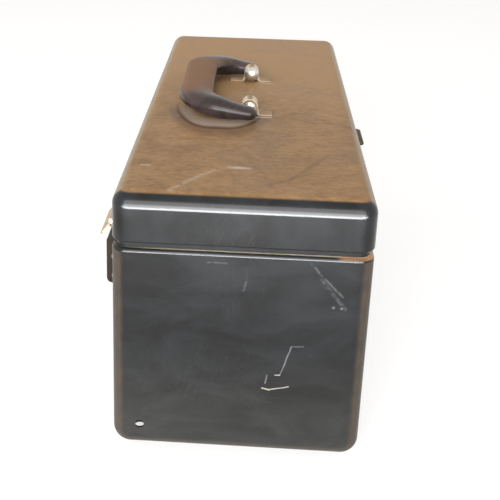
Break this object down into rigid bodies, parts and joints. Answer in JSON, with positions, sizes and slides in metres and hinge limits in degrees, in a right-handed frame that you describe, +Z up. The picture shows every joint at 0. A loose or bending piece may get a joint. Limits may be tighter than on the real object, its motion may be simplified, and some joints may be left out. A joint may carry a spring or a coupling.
{
  "type": "hand toolbox",
  "caption": "Oblong steel hand toolbox with a hinged lid, folding moulded handle, snap catches and a lift-out divided tray.",
  "frame": {"origin": "on the underside, at the centre of the case", "axes": "+Z up, +X along the length towards the right-hand end, catches face -Y, hinge faces +Y"},
  "size_m": [0.502, 0.2008, 0.219],
  "materials": {
    "case_paint": "worn satin enamel",
    "rim_paint": "dusty worn enamel",
    "lid_paint": "dusty satin enamel",
    "steel": "aged",
    "catch_steel": "tarnished",
    "pin_steel": "worn bright",
    "grip_plastic": "moulded",
    "tray_paint": "satin enamel"
  },
  "bodies": {
    "case": {"body_wrap": "case_paint", "end_pan_right": "case_paint", "end_pan_left": "case_paint", "body_rim": "rim_paint", "tray_ledge_right": "case_paint", "tray_ledge_left": "case_paint", "hinge_leaf_body": "steel", "hinge_pin": "pin_steel", "hinge_rivets_body": "steel", "catch_case_right": "catch_steel", "catch_case_left": "catch_steel", "catch_case_rivets": "steel"},
    "slide_right": {"thumb_slide_right": "pin_steel"},
    "slide_left": {"thumb_slide_left": "pin_steel"},
    "lid": {"lid_shell": "lid_paint", "lid_stiffener": "case_paint", "hinge_leaf_lid": "steel", "hinge_rivets_lid": "steel", "lid_stop": "catch_steel", "lid_stop_rivets": "steel", "flap_leaf_right": "catch_steel", "flap_leaf_left": "catch_steel", "flap_leaf_rivets": "steel", "flap_pin_right": "pin_steel", "flap_pin_left": "pin_steel", "handle_loop_right": "catch_steel", "handle_loop_left": "catch_steel"},
    "handle": {"handle_grip": "grip_plastic", "handle_pin_right": "pin_steel", "handle_pin_left": "pin_steel"},
    "flap_right": {"latch_flap_right": "catch_steel"},
    "flap_left": {"latch_flap_left": "catch_steel"},
    "tray": {"tray_pan": "tray_paint", "tray_bridge": "tray_paint", "tray_divider_right": "tray_paint", "tray_divider_left": "tray_paint"},
    "bail": {"tray_bail": "pin_steel", "tray_bail_sleeve": "grip_plastic"}
  },
  "joints": [
    {"name": "lid_hinge", "type": "hinge", "parent": "case", "child": "lid", "pos_m": [0, 0.0914, 0.16], "axis": [-1, 0, 0], "range_deg": [0, 117]},
    {"name": "handle_pivot", "type": "hinge", "parent": "lid", "child": "handle", "pos_m": [0, 0, 0.2055], "axis": [-1, 0, 0], "range_deg": [0, 168]},
    {"name": "flap_right_hinge", "type": "hinge", "parent": "lid", "child": "flap_right", "pos_m": [0.202, -0.0917, 0.166], "axis": [-1, 0, 0], "range_deg": [-17, 95]},
    {"name": "flap_left_hinge", "type": "hinge", "parent": "lid", "child": "flap_left", "pos_m": [-0.202, -0.0917, 0.166], "axis": [-1, 0, 0], "range_deg": [-17, 95]},
    {"name": "slide_right_travel", "type": "slide", "parent": "case", "child": "slide_right", "axis": [1, 0, 0], "range_m": [0, 0.0055]},
    {"name": "slide_left_travel", "type": "slide", "parent": "case", "child": "slide_left", "axis": [1, 0, 0], "range_m": [0, 0.0055]},
    {"name": "tray_lift", "type": "slide", "parent": "case", "child": "tray", "axis": [0, 0, 1], "range_m": [0, 0.02]},
    {"name": "bail_pivot", "type": "hinge", "parent": "tray", "child": "bail", "pos_m": [0.0048, 0, 0.162], "axis": [0, -1, 0], "range_deg": [0, 180]}
  ]
}
